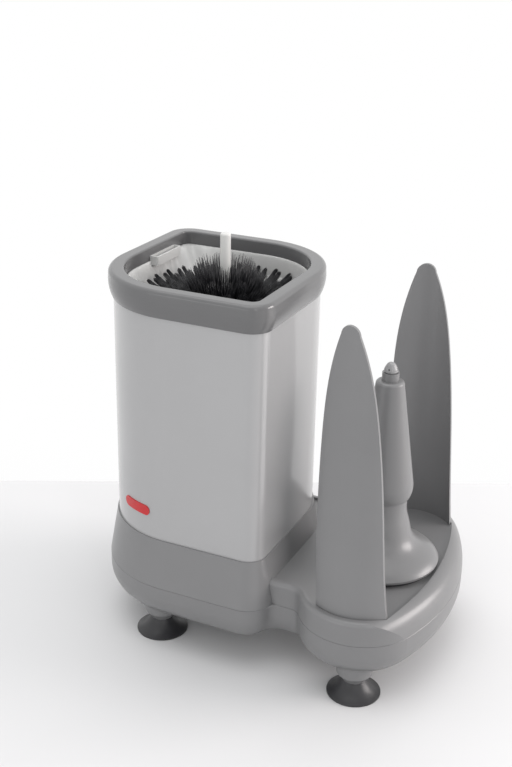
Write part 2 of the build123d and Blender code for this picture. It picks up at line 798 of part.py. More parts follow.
with BuildPart() as turbine_screws:
    with BuildSketch(Plane.XY.offset(turbine_bottom - 2.5)):
        with Locations(turbine_axis):
            with PolarLocations(turbine_radius + 8, 3, start_angle=30):
                Circle(3)
    extrude(amount=2.5)
    with BuildSketch(Plane.XY.offset(turbine_bottom)):
        with Locations(turbine_axis):
            with PolarLocations(turbine_radius + 8, 3, start_angle=30):
                Circle(1.5)
    extrude(amount=turbine_top + 2 - turbine_bottom)
turbine_screws.part.label = "turbine_screws"
export_step(turbine_screws.part, "parts/turbine_screws.step")

# ---- Gearbox: a cup screwed under the tub, whose floor closes the turbine -----------------------


def gearbox_outline(grow):
    """The gear pair's outline as one rounded hull, grown outwards by an amount."""
    with BuildSketch() as outline:
        with BuildLine():
            CenterArc(brush_axis, gear_radius + 3 + grow, 0, 360)
            CenterArc(turbine_axis, pinion_radius + 3 + grow, 0, 360)
        make_hull()
    return outline.sketch


with BuildPart() as gearbox_housing:
    with BuildSketch(Plane.XY.offset(turbine_top)):
        add(gearbox_outline(2.5))
        with Locations(turbine_axis):
            Circle(turbine_radius + 13)
    extrude(amount=shell_wall)
    with BuildSketch(Plane.XY.offset(box_floor)):
        add(gearbox_outline(2.5))
        add(gearbox_outline(0), mode=Mode.SUBTRACT)
    extrude(amount=tub_floor - shell_wall - box_floor)
    with BuildSketch(Plane.XY.offset(tub_floor - shell_wall - 4)):
        add(gearbox_outline(12))
        add(gearbox_outline(0), mode=Mode.SUBTRACT)
    extrude(amount=4)
    with BuildSketch(Plane.XY.offset(box_floor)):
        with Locations(brush_axis):
            Circle(bush_radius + 3)
            Circle(bush_radius, mode=Mode.SUBTRACT)
    extrude(amount=6)
    with BuildSketch(Plane.XY.offset(box_floor)):
        with Locations(turbine_axis):
            Circle(small_bush_radius + 2)
    extrude(amount=3)
    with BuildSketch(Plane.XY.offset(turbine_top)):
        with Locations(turbine_axis):
            Circle(small_bush_radius)
            with PolarLocations(turbine_radius + 8, 3, start_angle=30):
                Circle(1.5)
    extrude(amount=6, mode=Mode.SUBTRACT)
    with BuildSketch(Plane.XY.offset(tub_floor - shell_wall - 4)):
        with Locations(*drive_screws):
            Circle(1.6)
    extrude(amount=4, mode=Mode.SUBTRACT)
gearbox_housing.part.label = "gearbox_housing"
export_step(gearbox_housing.part, "parts/gearbox_housing.step")

with BuildPart() as drive_screw_set:
    with BuildSketch(Plane.XY.offset(tub_floor - shell_wall - 6.5)):
        with Locations(*drive_screws):
            Circle(3)
    extrude(amount=2.5)
    with BuildSketch(Plane.XY.offset(tub_floor - shell_wall - 4)):
        with Locations(*drive_screws):
            Circle(1.6)
    extrude(amount=6.5)
drive_screw_set.part.label = "drive_screws"
export_step(drive_screw_set.part, "parts/drive_screws.step")

# ---- Plumbing: inlet, strainer, manifold and pipes ----------------------------------------------
inlet_axis_x = tower_x + inlet_x
shoulder_face = plinth_back + shoulder_proud
thread_start = shoulder_face + relief_width
stub_end = plinth_back + hose_stub


def level_ring(centre_x, start, end, outer, inner):
    """A plain ring lying along Y at the height of the hose connections."""
    with BuildPart() as made:
        with BuildSketch(Plane.XZ.offset(-start)):
            with Locations((centre_x, pipe_height)):
                Circle(outer)
                Circle(inner, mode=Mode.SUBTRACT)
        extrude(amount=start - end)
    return made.part


with BuildPart() as inlet_connector:
    add(level_ring(inlet_axis_x, manifold_back, shoulder_face, inlet_shoulder, inlet_bore))
    add(level_ring(inlet_axis_x, shoulder_face, thread_start, inlet_radius - relief_depth, inlet_bore))
    add(level_ring(inlet_axis_x, thread_start, stub_end, inlet_radius, inlet_bore))
inlet_connector.part.label = "inlet_connector"
export_step(inlet_connector.part, "parts/inlet_connector.step")

with BuildPart() as inlet_strainer:
    with BuildSketch(Plane.XZ.offset(-manifold_back - 4)):
        with Locations((inlet_axis_x, pipe_height)):
            Circle(inlet_bore)
            with Locations((-3, 0), (3, 0), (0, 3), (0, -3), (0, 0)):
                Circle(1, mode=Mode.SUBTRACT)
    extrude(amount=-3)
inlet_strainer.part.label = "inlet_strainer"
export_step(inlet_strainer.part, "parts/inlet_strainer.step")

supply_y = manifold_back - 18
manifold_left = inlet_axis_x - 18
manifold_right = supply_x + 9
manifold_front = manifold_back - 26
manifold_bottom = base_floor + shell_wall + 2
manifold_top = pipe_height + 13
with BuildPart() as water_manifold:
    with BuildSketch(Plane.XY.offset(manifold_bottom)):
        with Locations(((manifold_left + manifold_right) / 2, (manifold_front + manifold_back) / 2)):
            Rectangle(manifold_right - manifold_left, manifold_back - manifold_front)
    extrude(amount=manifold_top - manifold_bottom)
    with BuildSketch(Plane.XZ.offset(-manifold_back)):
        with Locations((inlet_axis_x, pipe_height)):
            Circle(inlet_bore)
    extrude(amount=22, mode=Mode.SUBTRACT)
    with BuildSketch(Plane.YZ.offset(manifold_right)):
        with Locations((supply_y, pipe_height)):
            Circle(pipe_bore)
    extrude(amount=inlet_axis_x - manifold_right, mode=Mode.SUBTRACT)
    with BuildSketch(Plane.XY.offset(manifold_top)):
        with Locations((supply_x, supply_y)):
            Circle(pipe_bore)
    extrude(amount=pipe_height - manifold_top, mode=Mode.SUBTRACT)
water_manifold.part.label = "water_manifold"
export_step(water_manifold.part, "parts/water_manifold.step")


def bent_pipe(points, bend, outer, inner):
    """A rigid bent tube along straight runs and tangent arcs."""
    with BuildPart() as pipe:
        with BuildLine() as route:
            FilletPolyline(*points, radius=bend)
        mouth = Plane(origin=route.line @ 0, z_dir=route.line % 0)
        with BuildSketch(mouth):
            Circle(outer)
            Circle(inner, mode=Mode.SUBTRACT)
        sweep(path=route.line)
    return pipe.part


def export_pipe(name, points, bend, outer, inner):
    """Makes a bent tube and writes it as its own piece."""
    piece = bent_pipe(points, bend, outer, inner)
    piece.label = name
    export_step(piece, "parts/" + name + ".step")


export_pipe(
    "supply_pipe",
    [
        (supply_x, supply_y, manifold_top),
        (supply_x, supply_y, turbine_bottom + 16),
        (supply_x, turbine_y + 35, turbine_bottom + 16),
    ],
    11, pipe_radius, pipe_bore,
)
export_pipe(
    "feed_pipe",
    [
        (feed_x, turbine_y - 35, turbine_bottom + 16),
        (feed_x, feed_y, turbine_bottom + 16),
        (feed_x, feed_y, tub_floor),
    ],
    11, pipe_radius, pipe_bore,
)
export_pipe(
    "rinse_pipe",
    [
        (manifold_right, supply_y, pipe_height),
        (rinser_x, supply_y, pipe_height),
        (rinser_x, 16, pipe_height),
    ],
    20, pipe_radius, pipe_bore,
)
drain_run = bent_pipe(
    [
        (tower_x + drain_x, tower_y + drain_y, tub_floor),
        (tower_x + drain_x, tower_y + drain_y, pipe_height),
        (tower_x + drain_x, stub_end, pipe_height),
    ],
    20, drain_radius, drain_bore,
)
with BuildPart() as drain_pipe:
    add(drain_run)
    add(
        level_ring(
            tower_x + drain_x, shoulder_face, thread_start, drain_radius + 1,
            spigot_radius - relief_depth,
        ),
        mode=Mode.SUBTRACT,
    )
    add(
        level_ring(tower_x + drain_x, thread_start, stub_end, drain_radius + 1, spigot_radius),
        mode=Mode.SUBTRACT,
    )
drain_pipe.part.label = "drain_pipe"
export_step(drain_pipe.part, "parts/drain_pipe.step")

# ---- Rinse valve under the deck ------------------------------------------------------------------
with BuildPart() as rinse_valve:
    with BuildSketch(Plane.XY.offset(pipe_height - 8)):
        with Locations(rinse_axis):
            Circle(16)
    extrude(amount=deck_height - shell_wall - pipe_height + 8)
    with BuildSketch(Plane.XY.offset(pipe_height - 2)):
        with Locations(rinse_axis):
            Circle(plunger_radius + running_gap)
    extrude(amount=deck_height - pipe_height, mode=Mode.SUBTRACT)
    with BuildSketch(Plane.XZ.offset(-16.5)):
        with Locations((rinser_x, pipe_height)):
            Circle(pipe_radius + fit_gap)
    extrude(amount=3, mode=Mode.SUBTRACT)
    with BuildSketch(Plane.XZ.offset(-16.5)):
        with Locations((rinser_x, pipe_height)):
            Circle(pipe_bore)
    extrude(amount=14, mode=Mode.SUBTRACT)
rinse_valve.part.label = "rinse_valve"
export_step(rinse_valve.part, "parts/rinse_valve.step")

# ---- Rinser column: a hollow trumpet foot and a tapered neck -------------------------------------


def around_rinser(radius, height):
    """A point of a section that is turned round the rinser's axis."""
    return (rinser_x + radius, height)


rinser_turn = Axis((rinser_x, 0, 0), (0, 0, 1))
neck_foot = 136.0
guide_bore = plunger_radius + running_gap
with BuildPart() as nozzle_column:
    with BuildSketch(Plane.XZ):
        with BuildLine():
            Polyline(
                around_rinser(column_foot_radius - 4, column_foot),
                around_rinser(column_foot_radius - 0.5, column_foot),
                around_rinser(column_foot_radius, column_foot + 2),
            )
            Spline(
                around_rinser(column_foot_radius, column_foot + 2),
                around_rinser(43, 93.5),
                around_rinser(33, 99.5),
                around_rinser(27, 107.5),
                around_rinser(24, 119),
                around_rinser(column_neck_radius, neck_foot),
                tangents=((-0.5, 1), (0, 1)),
            )
            Polyline(
                around_rinser(column_neck_radius, neck_foot),
                around_rinser(column_neck_radius, neck_foot + 16),
                around_rinser(11, column_top),
                around_rinser(guide_bore, column_top),
                around_rinser(guide_bore, column_top - 8),
                around_rinser(8, column_top - 10),
                around_rinser(column_neck_radius - 3.5, neck_foot + 14),
                around_rinser(column_neck_radius - 3.5, neck_foot),
                around_rinser(22, 110),
                around_rinser(28, 99),
                around_rinser(column_foot_radius - 10, column_foot + 4),
                around_rinser(column_foot_radius - 10, column_foot),
                around_rinser(column_foot_radius - 4, column_foot),
            )
        make_face()
    revolve(axis=rinser_turn)
nozzle_column.part.label = "nozzle_column"
export_step(nozzle_column.part, "parts/nozzle_column.step")

# ---- Rinse head: sleeve, collar, jet tip and plunger, pressed down by the glass ------------------
with BuildPart() as rinse_sleeve:
    with BuildSketch(Plane.XZ):
        with BuildLine():
            Line(around_rinser(4, sleeve_top), around_rinser(sleeve_top_radius - 3, sleeve_top))
            RadiusArc(
                around_rinser(sleeve_top_radius - 3, sleeve_top),
                around_rinser(sleeve_top_radius, sleeve_top - 3),
                3,
            )
            Line(
                around_rinser(sleeve_top_radius, sleeve_top - 3),
                around_rinser(sleeve_wide_radius, sleeve_wide_height),
            )
            ThreePointArc(
                around_rinser(sleeve_wide_radius, sleeve_wide_height),
                around_rinser(sleeve_wide_radius - 0.5, sleeve_wide_height - 7),
                around_rinser(column_neck_radius + 2.0, sleeve_bottom),
            )
            Polyline(
                around_rinser(column_neck_radius + 2.0, sleeve_bottom),
                around_rinser(column_neck_radius + 0.5, sleeve_bottom),
                around_rinser(column_neck_radius + 0.5, sleeve_bottom + 4),
                around_rinser(sleeve_wide_radius - sleeve_wall, sleeve_wide_height),
                around_rinser(sleeve_top_radius - sleeve_wall + 0.4, sleeve_top - 7),
                around_rinser(4, sleeve_top - 7),
                around_rinser(4, sleeve_top),
            )
        make_face()
    revolve(axis=rinser_turn)
rinse_sleeve.part.label = "rinse_sleeve"
export_step(rinse_sleeve.part, "parts/rinse_sleeve.step")

export_ring("collar_ring", rinse_axis, sleeve_top, collar_top, collar_radius, 4)

with BuildPart() as jet_tip:
    with BuildSketch(Plane.XZ):
        with BuildLine():
            Polyline(
                around_rinser(0, collar_top + 5),
                around_rinser(1.8, collar_top + 5),
                around_rinser(1.8, collar_top),
                around_rinser(tip_radius - 1.2, collar_top),
                around_rinser(tip_radius - 1.2, collar_top + 1),
                around_rinser(tip_radius, collar_top + 1),
            )
            Spline(
                around_rinser(tip_radius, collar_top + 1),
                around_rinser(4.4, collar_top + 5.6),
                around_rinser(0, tip_top),
                tangents=((0, 1), (-1, 0)),
            )
            Line(around_rinser(0, tip_top), around_rinser(0, collar_top + 5))
        make_face()
    revolve(axis=rinser_turn)
    with Locations((rinser_x, 0, collar_top + 3.5)):
        Cylinder(0.7, 16, rotation=(90, 0, 0), mode=Mode.SUBTRACT)
        Cylinder(0.7, 16, rotation=(0, 90, 0), mode=Mode.SUBTRACT)
jet_tip.part.label = "jet_tip"
export_step(jet_tip.part, "parts/jet_tip.step")

with BuildPart() as plunger:
    with BuildSketch(Plane.XY.offset(pipe_height + 6)):
        with Locations(rinse_axis):
            Circle(plunger_radius)
    extrude(amount=sleeve_top - 7 - pipe_height - 6)
    with BuildSketch(Plane.XY.offset(sleeve_top - 7)):
        with Locations(rinse_axis):
            Circle(4)
    extrude(amount=collar_top - sleeve_top + 7)
    with BuildSketch(Plane.XY.offset(pipe_height + 6)):
        with Locations(rinse_axis):
            Circle(1.8)
    extrude(amount=collar_top - pipe_height - 6, mode=Mode.SUBTRACT)
plunger.part.label = "plunger"
export_step(plunger.part, "parts/plunger.step")

spring_wire = 0.7
spring_height = sleeve_top - 7 - column_top - 2 * spring_wire
with BuildPart() as rinse_spring:
    with BuildLine() as coil:
        Helix(
            pitch=spring_height / 4,
            height=spring_height,
            radius=plunger_radius + 2,
            center=(rinser_x, 0, column_top + spring_wire),
        )
    with BuildSketch(Plane(origin=coil.line @ 0, z_dir=coil.line % 0)):
        Circle(spring_wire)
    sweep(path=coil.line, is_frenet=True)
rinse_spring.part.label = "rinse_spring"
export_step(rinse_spring.part, "parts/rinse_spring.step")

# ---- Fins: two tall curved guards that lean in towards the rinser --------------------------------
fin_edge = [(-19.1, deck_height), (-24.2, 150), (-24.8, 215), (-20.8, 273), (-11, 314.5)]
fin_back_edge = [(5, 314.5), (13.7, 291), (23, 245), (29.5, 185), (38.2, deck_height)]
for side, name in ((-1, "front_fin"), (1, "rear_fin")):
    with BuildPart() as fin:
        with BuildSketch(Plane.XY.offset(deck_height)):
            with Locations((rinser_x + lobe_centre_x, side * lobe_centre_y)):
                Circle(fin_radius)
                Circle(fin_radius - fin_wall, mode=Mode.SUBTRACT)
            with Locations((rinser_x + lobe_centre_x, side * (lobe_centre_y + fin_radius))):
                Rectangle(4 * fin_radius, 2 * fin_radius, mode=Mode.INTERSECT)
        lean = (0, -side * fin_lean, fin_top - deck_height)
        extrude(amount=hypot(fin_lean, fin_top - deck_height), dir=lean)
        with BuildSketch(Plane.XZ.offset(lobe_centre_y + 2 * fin_radius)):
            with BuildLine():
                Spline(*[around_rinser(*point) for point in fin_edge])
                ThreePointArc(
                    around_rinser(*fin_edge[-1]),
                    around_rinser(-3.0, fin_top),
                    around_rinser(*fin_back_edge[0]),
                )
                Spline(*[around_rinser(*point) for point in fin_back_edge])
                Line(around_rinser(*fin_back_edge[-1]), around_rinser(*fin_edge[0]))
            make_face()
        extrude(amount=-2 * (lobe_centre_y + 2 * fin_radius), mode=Mode.INTERSECT)
    fin.part.label = name
    export_step(fin.part, "parts/" + name + ".step")

# ---- Badge: a plain enamelled pill on the casing's rounded front corner --------------------------
badge_x = tower_x - 34.0
badge_height = 128.0
with BuildPart() as badge:
    with BuildSketch(Plane.XY.offset(badge_height - 10)):
        add(tower_outline(-casing_inset + 0.8))
        add(tower_outline(-casing_inset), mode=Mode.SUBTRACT)
    extrude(amount=20)
    with BuildSketch(Plane.XZ.offset(-tower_y)):
        with Locations((badge_x, badge_height)):
            SlotOverall(30, 9)
    extrude(amount=tower_depth, mode=Mode.INTERSECT)
badge.part.label = "badge"
export_step(badge.part, "parts/badge.step")
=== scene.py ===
"""A glass washer: a brush tower and a pressed-down rinsing jet between two guards, on one base."""

import bmesh
import bpy
import numpy as np
from mathutils import Matrix, Vector


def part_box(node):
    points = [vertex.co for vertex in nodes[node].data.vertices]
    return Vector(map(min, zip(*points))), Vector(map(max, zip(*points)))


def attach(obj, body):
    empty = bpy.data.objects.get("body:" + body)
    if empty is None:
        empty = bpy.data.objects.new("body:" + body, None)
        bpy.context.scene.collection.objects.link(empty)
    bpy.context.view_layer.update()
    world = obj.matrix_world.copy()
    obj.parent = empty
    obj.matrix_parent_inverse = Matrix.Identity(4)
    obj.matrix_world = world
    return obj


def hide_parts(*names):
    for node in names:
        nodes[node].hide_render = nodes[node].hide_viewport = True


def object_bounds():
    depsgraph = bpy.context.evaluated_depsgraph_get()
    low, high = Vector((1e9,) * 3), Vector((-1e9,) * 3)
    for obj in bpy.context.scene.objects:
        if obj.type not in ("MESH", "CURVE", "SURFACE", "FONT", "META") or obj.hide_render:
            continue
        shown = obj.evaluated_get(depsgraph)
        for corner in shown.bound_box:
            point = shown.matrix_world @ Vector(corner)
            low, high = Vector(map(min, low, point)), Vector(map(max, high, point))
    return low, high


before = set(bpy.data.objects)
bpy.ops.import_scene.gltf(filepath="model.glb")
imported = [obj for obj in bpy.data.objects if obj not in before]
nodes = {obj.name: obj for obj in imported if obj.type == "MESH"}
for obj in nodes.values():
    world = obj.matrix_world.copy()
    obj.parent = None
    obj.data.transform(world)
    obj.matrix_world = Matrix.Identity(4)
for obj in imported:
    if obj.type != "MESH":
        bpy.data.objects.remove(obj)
cad_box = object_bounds()

# ---- Base shells ------------------------------------------------------------------------------
# The tray and the deck above it are two injection mouldings in mid-grey ABS, screwed together
# from below. The tool is polished, so the plastic has a soft gloss and a very fine grain.


def linear(code):
    """An sRGB hex colour turned into the linear light that a shader takes."""
    parts = [int(code[place:place + 2], 16) / 255 for place in (1, 3, 5)]
    return [p / 12.92 if p <= 0.04045 else ((p + 0.055) / 1.055) ** 2.4 for p in parts] + [1.0]


def add_node(tree, kind, inputs, **settings):
    """Adds one shader node: inputs are its sockets' values or links, settings its own choices."""
    node = tree.nodes.new(kind)
    for name, value in settings.items():
        setattr(node, name, value)
    for name, value in inputs.items():
        if isinstance(value, bpy.types.NodeSocket):
            tree.links.new(value, node.inputs[name])
        else:
            node.inputs[name].default_value = value
    return node


def finish_of(name, shade, cloud_mm, gloss, hand_mm, grain_mm, grain_depth_mm, **shader):
    """A finish with three patterns, each at a real size on Object coordinates.

    Clouds of cloud_mm drift the colour between two shades, as pigment does in a moulding or a
    coat of paint. Patches of hand_mm drift the roughness between two values, as handling does.
    A grain of grain_mm raises the surface by grain_depth_mm.
    """
    material = bpy.data.materials.new(name)
    material.use_nodes = True
    tree = material.node_tree
    place = add_node(tree, "ShaderNodeTexCoord", {}).outputs["Object"]
    clouds = add_node(
        tree, "ShaderNodeTexNoise", {"Vector": place, "Scale": 1000 / cloud_mm, "Detail": 3.0}
    )
    colour = add_node(
        tree, "ShaderNodeMixRGB",
        {"Fac": clouds.outputs["Fac"], "Color1": linear(shade[0]), "Color2": linear(shade[1])},
    )
    patches = add_node(
        tree, "ShaderNodeTexNoise", {"Vector": place, "Scale": 1000 / hand_mm, "Detail": 4.0}
    )
    rough = add_node(
        tree, "ShaderNodeMapRange",
        {"Value": patches.outputs["Fac"], "From Min": 0.3, "From Max": 0.7,
         "To Min": gloss[0], "To Max": gloss[1]},
    )
    grain = add_node(
        tree, "ShaderNodeTexNoise", {"Vector": place, "Scale": 1000 / grain_mm, "Detail": 2.0}
    )
    bump = add_node(
        tree, "ShaderNodeBump",
        {"Height": grain.outputs["Fac"], "Strength": 1.0, "Distance": grain_depth_mm / 1000},
    )
    surface_shader = tree.nodes["Principled BSDF"]
    tree.links.new(colour.outputs["Color"], surface_shader.inputs["Base Color"])
    tree.links.new(rough.outputs["Result"], surface_shader.inputs["Roughness"])
    tree.links.new(bump.outputs["Normal"], surface_shader.inputs["Normal"])
    for socket, value in shader.items():
        surface_shader.inputs[socket.replace("_", " ")].default_value = value
    return material


def paint(material, *names):
    """Gives CAD nodes a finish, in every material slot that they have."""
    for name in names:
        slots = nodes[name].data.materials
        if not slots:
            slots.append(material)
        for number in range(len(slots)):
            slots[number] = material


# ABS, injection moulded in a polished tool: even mid grey, soft gloss, fine grain
grey_abs = finish_of(
    "grey_abs_moulded", ("#777778", "#7c7c7d"), 60, (0.29, 0.35), 40, 1.6, 0.006, IOR=1.53
)
paint(grey_abs, "lower_base_shell", "upper_base_shell")

# Stainless steel, turned and cold headed: bright, with a fine drawn grain
stainless = finish_of(
    "stainless_steel_turned", ("#b9babc", "#a9aaac"), 8, (0.22, 0.34), 4, 0.5, 0.004, Metallic=1.0
)
paint(stainless, "base_screws")

# ---- Suction feet -----------------------------------------------------------------------------
# Four cups pressed from black nitrile rubber hold the machine to a wet worktop. A grey moulded
# cone screws each one to a boss of the tray.
paint(grey_abs, "foot_stems")

# Nitrile rubber, compression moulded: near black, satin, with the tool's turned lines
rubber = finish_of(
    "nitrile_rubber_pressed", ("#2b2b2d", "#353538"), 12, (0.32, 0.5), 6, 0.9, 0.02, IOR=1.52
)
paint(rubber, "suction_cups", "column_gasket", "shaft_seal", "turbine_gasket")

# ---- Tower casing and rim ---------------------------------------------------------------------
# The casing is one sheet of steel, wrapped round the tower and painted light silver-grey. The
# rim is a grey ABS moulding pushed down over its top edge.

# Steel sheet, sprayed silver-grey and lacquered: light, very smooth, with mirror-like coat
silver_paint = finish_of(
    "steel_sheet_sprayed", ("#a3a3a4", "#a8a8a9"), 70, (0.3, 0.36), 60, 4.0, 0.002,
    Metallic=0.2, Coat_Weight=0.7, Coat_Roughness=0.06,
)
paint(silver_paint, "tower_casing")

# The rim is moulded in the same ABS from a slightly darker batch, polished a little higher
rim_abs = finish_of(
    "rim_abs_moulded", ("#636364", "#686869"), 60, (0.16, 0.22), 40, 1.6, 0.004, IOR=1.53
)
paint(rim_abs, "tower_rim")

# Vitreous enamel, fired: saturated red, glassy
red_enamel = finish_of(
    "red_enamel_fired", ("#b5161b", "#c11d22"), 10, (0.12, 0.2), 6, 1.2, 0.004, IOR=1.52
)
paint(red_enamel, "badge")

# ---- Wash tub and splash ring -----------------------------------------------------------------
# A light grey polypropylene tub hangs inside the casing. A fluted ring of the same plastic stands
# inside the rim, slopes down to the brush and sends splashes back into the tub. The pocket for
# detergent is moulded from it too.

# Polypropylene, injection moulded: pale warm grey, waxy
pale_plastic = finish_of(
    "polypropylene_moulded", ("#c6c6c5", "#cdcdcc"), 30, (0.35, 0.45), 25, 1.6, 0.006, IOR=1.49
)
paint(pale_plastic, "wash_tub", "detergent_cup")


def surface(name, points, material, around=False):
    """A smooth mesh over a grid of points: rows joined by quads, wrapped round where asked.

    Points that meet, as at a pole, become one, and a closed shape has its faces turned outwards.
    """
    rows, columns = points.shape[:2]
    index = np.arange(rows * columns).reshape(rows, columns)
    if around:
        index = np.concatenate([index, index[:1]])
    corners = (index[:-1, :-1], index[1:, :-1], index[1:, 1:], index[:-1, 1:])
    quads = np.stack(corners, -1).reshape(-1, 4)
    mesh = bpy.data.meshes.new(name)
    mesh.from_pydata(points.reshape(-1, 3).tolist(), [], quads.tolist())
    shape = bmesh.new()
    shape.from_mesh(mesh)
    bmesh.ops.remove_doubles(shape, verts=shape.verts, dist=1e-6)
    bmesh.ops.recalc_face_normals(shape, faces=shape.faces)
    shape.to_mesh(mesh)
    shape.free()
    mesh.shade_smooth()
    piece = bpy.data.objects.new(name, mesh)
    bpy.context.scene.collection.objects.link(piece)
    mesh.materials.append(material)
    return piece


brush_low, brush_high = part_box("brush_hub")
brush_axis = (brush_low + brush_high) / 2
rim_low, rim_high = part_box("tower_rim")
ring_low, ring_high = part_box("splash_ring")
# corner radii, from the front right corner anticlockwise: two tight corners and two wide ones
corner_radii = (0.0170, 0.0756, 0.0180, 0.0783)
rim_bulge = 0.003


def tower_section(inset, count):
    """Points round the tower's section, sunk by inset: straight sides and four round corners.

    Each corner is a quarter circle about its own centre, and the points are spread evenly over
    the whole length of the outline by linear interpolation along it.
    """
    middle = (rim_low + rim_high) / 2
    half = (rim_high - rim_low) / 2 - Vector((rim_bulge, rim_bulge, 0))
    turns = np.linspace(0, np.pi / 2, 24)
    pieces = []
    for number, (side_x, side_y) in enumerate(((1, -1), (1, 1), (-1, 1), (-1, -1))):
        radius = corner_radii[number]
        centre = np.array([
            middle.x + side_x * (half.x - radius), middle.y + side_y * (half.y - radius)
        ])
        angle = turns + (number - 1) * np.pi / 2
        direction = np.stack([np.cos(angle), np.sin(angle)], -1)
        pieces.append(centre + (radius - inset) * direction)
    line = np.concatenate(pieces + [pieces[0][:1]])
    run = np.concatenate([[0], np.cumsum(np.linalg.norm(np.diff(line, axis=0), axis=1))])
    spread = np.linspace(0, run[-1], count, endpoint=False)
    return np.stack([np.interp(spread, run, line[:, axis]) for axis in (0, 1)], -1)


ring_inset = 0.0112
ring_wall = 0.0016
flute_count = 36
flute_depth = 0.0022
throat_radius = 0.062
lip_radius = 0.0705
steep_width = 0.003
lip_rise = 0.0185
throat_drop = 0.003


def fluted_ring(count, steps):
    """The ring's upper face and underside as one closed band.

    Each ray from the brush axis falls from the tower's inner outline to the lip under the
    bristle tips, along half a cosine wave, and goes on gently down to the throat. Where the
    wall stands close to the bristles, the fall takes steep_width. The flutes are a cosine of
    the ray's angle, strongest halfway in.
    """
    outline = tower_section(ring_inset, count)
    offset = outline - np.array(brush_axis.xy)
    reach = np.linalg.norm(offset, axis=1)
    angle = np.arctan2(offset[:, 1], offset[:, 0])
    share = np.linspace(0, 1, steps)
    radius = reach[:, None] + (throat_radius - reach[:, None]) * share
    lip = np.minimum(lip_radius, reach - steep_width)[:, None]
    climb = np.clip((radius - lip) / (reach[:, None] - lip), 0, 1)
    fall = throat_drop * share - lip_rise * (1 - np.cos(climb * np.pi)) / 2
    scallop = np.cos(angle[:, None] * flute_count) * np.sin(share * np.pi) ** 0.7
    height = ring_high.z - fall + flute_depth * (scallop - 1)
    across = np.cos(angle)[:, None] * radius + brush_axis.x
    along = np.sin(angle)[:, None] * radius + brush_axis.y
    top = np.stack([across, along, height], -1)
    under = top[:, ::-1] - np.array([0, 0, ring_wall])
    return np.concatenate([top, under, top[:, :1]], 1)


splash_ring = surface("fluted_splash_ring", fluted_ring(720, 22), pale_plastic, around=True)
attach(splash_ring, "housing")
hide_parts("splash_ring")

# ---- Brush ------------------------------------------------------------------------------------
# A black nylon hub turns on the shaft. Tufts of black nylon filament are stapled into it in
# rows: the outer rows lie almost flat and scrub the rim, the inner ones stand up in the glass.

# Glass-filled nylon, moulded: black, matt
black_nylon = finish_of(
    "glass_filled_nylon_moulded", ("#161617", "#1e1e20"), 10, (0.45, 0.6), 6, 0.8, 0.01, IOR=1.53
)
paint(black_nylon, "brush_hub")

# Acetal rod, machined: clean white, slightly glossy
white_acetal = finish_of(
    "white_acetal_machined", ("#cfcfcd", "#d8d8d6"), 12, (0.28, 0.36), 8, 0.7, 0.004, IOR=1.48
)
paint(white_acetal, "centre_post", "turbine_wheel", "turbine_pinion", "brush_gear")
paint(stainless, "brush_shaft", "turbine_shaft", "drive_screws", "turbine_screws")

# Nylon filament, extruded and crimped: black, with a fine streak of light along each one.
# A real filament is 0.3 mm thick; it is drawn at 0.6 mm, because a thinner one would not show
filament_radius = 0.0003
# each filament's place in its tuft turns on by the golden angle, as seeds do in a sunflower
golden_angle = 2.399963
filament = finish_of(
    "nylon_filament_extruded", ("#1b1b1e", "#27272b"), 3, (0.28, 0.4), 3, 0.6, 0.005, IOR=1.53
)


def tuft_row(rng, tufts, filaments, root, tip, spread, turn):
    """The filaments of one row of tufts, as curves of six points each.

    Root and tip are (radius, height), and spread is the tuft's radius at its root, its radius
    at its tip and how far it arches. Each filament starts in a small disc at its tuft's root
    and ends in a wider one at its tip, rounded so that the middle stands proud. Between them
    it follows a quadratic curve that leaves the hub steeply and then flattens.
    """
    angle = 2 * np.pi * (np.arange(tufts) + turn) / tufts
    angle = angle + rng.normal(0, 0.012, tufts)
    outward = np.stack([np.cos(angle), np.sin(angle), np.zeros(tufts)], -1)[:, None]
    sideways = np.stack([-np.sin(angle), np.cos(angle), np.zeros(tufts)], -1)[:, None]
    upward = np.array([0.0, 0.0, 1.0])
    lean = np.arctan2(tip[1] - root[1], tip[0] - root[0])
    ahead = outward * np.cos(lean) + upward * np.sin(lean)
    across = upward * np.cos(lean) - outward * np.sin(lean)
    order = np.arange(filaments) + 0.5
    disc = np.sqrt(order / filaments)
    around = order * golden_angle + rng.uniform(0, 6.28, (tufts, 1))
    disc = disc + rng.normal(0, 0.04, (tufts, filaments))
    aside = (disc * np.cos(around))[..., None] * sideways
    above = (disc * np.sin(around))[..., None] * across
    axis = np.array([brush_axis.x, brush_axis.y, 0.0])
    start = axis + outward * root[0] + upward * root[1] + (aside + above) * spread[0]
    rounding = spread[1] * 1.1 * np.clip(disc, 0, 1.2) ** 2 + rng.uniform(0, 0.0011, disc.shape)
    end = axis + outward * tip[0] + upward * tip[1] + (aside + above) * spread[1]
    end = end - ahead * rounding[..., None]
    middle = (start + end) / 2 + across * spread[2] + (aside + above) * spread[1] * 0.25
    share = np.linspace(0, 1, 6)[:, None]
    start, middle, end = (part[..., None, :] for part in (start, middle, end))
    curve = start * (1 - share) ** 2 + 2 * middle * share * (1 - share) + end * share ** 2
    sides = np.broadcast_to(sideways[:, :, None], curve.shape)
    rises = np.broadcast_to(across[:, :, None], curve.shape)
    return tuple(part.reshape(-1, 6, 3) for part in (curve, sides, rises))


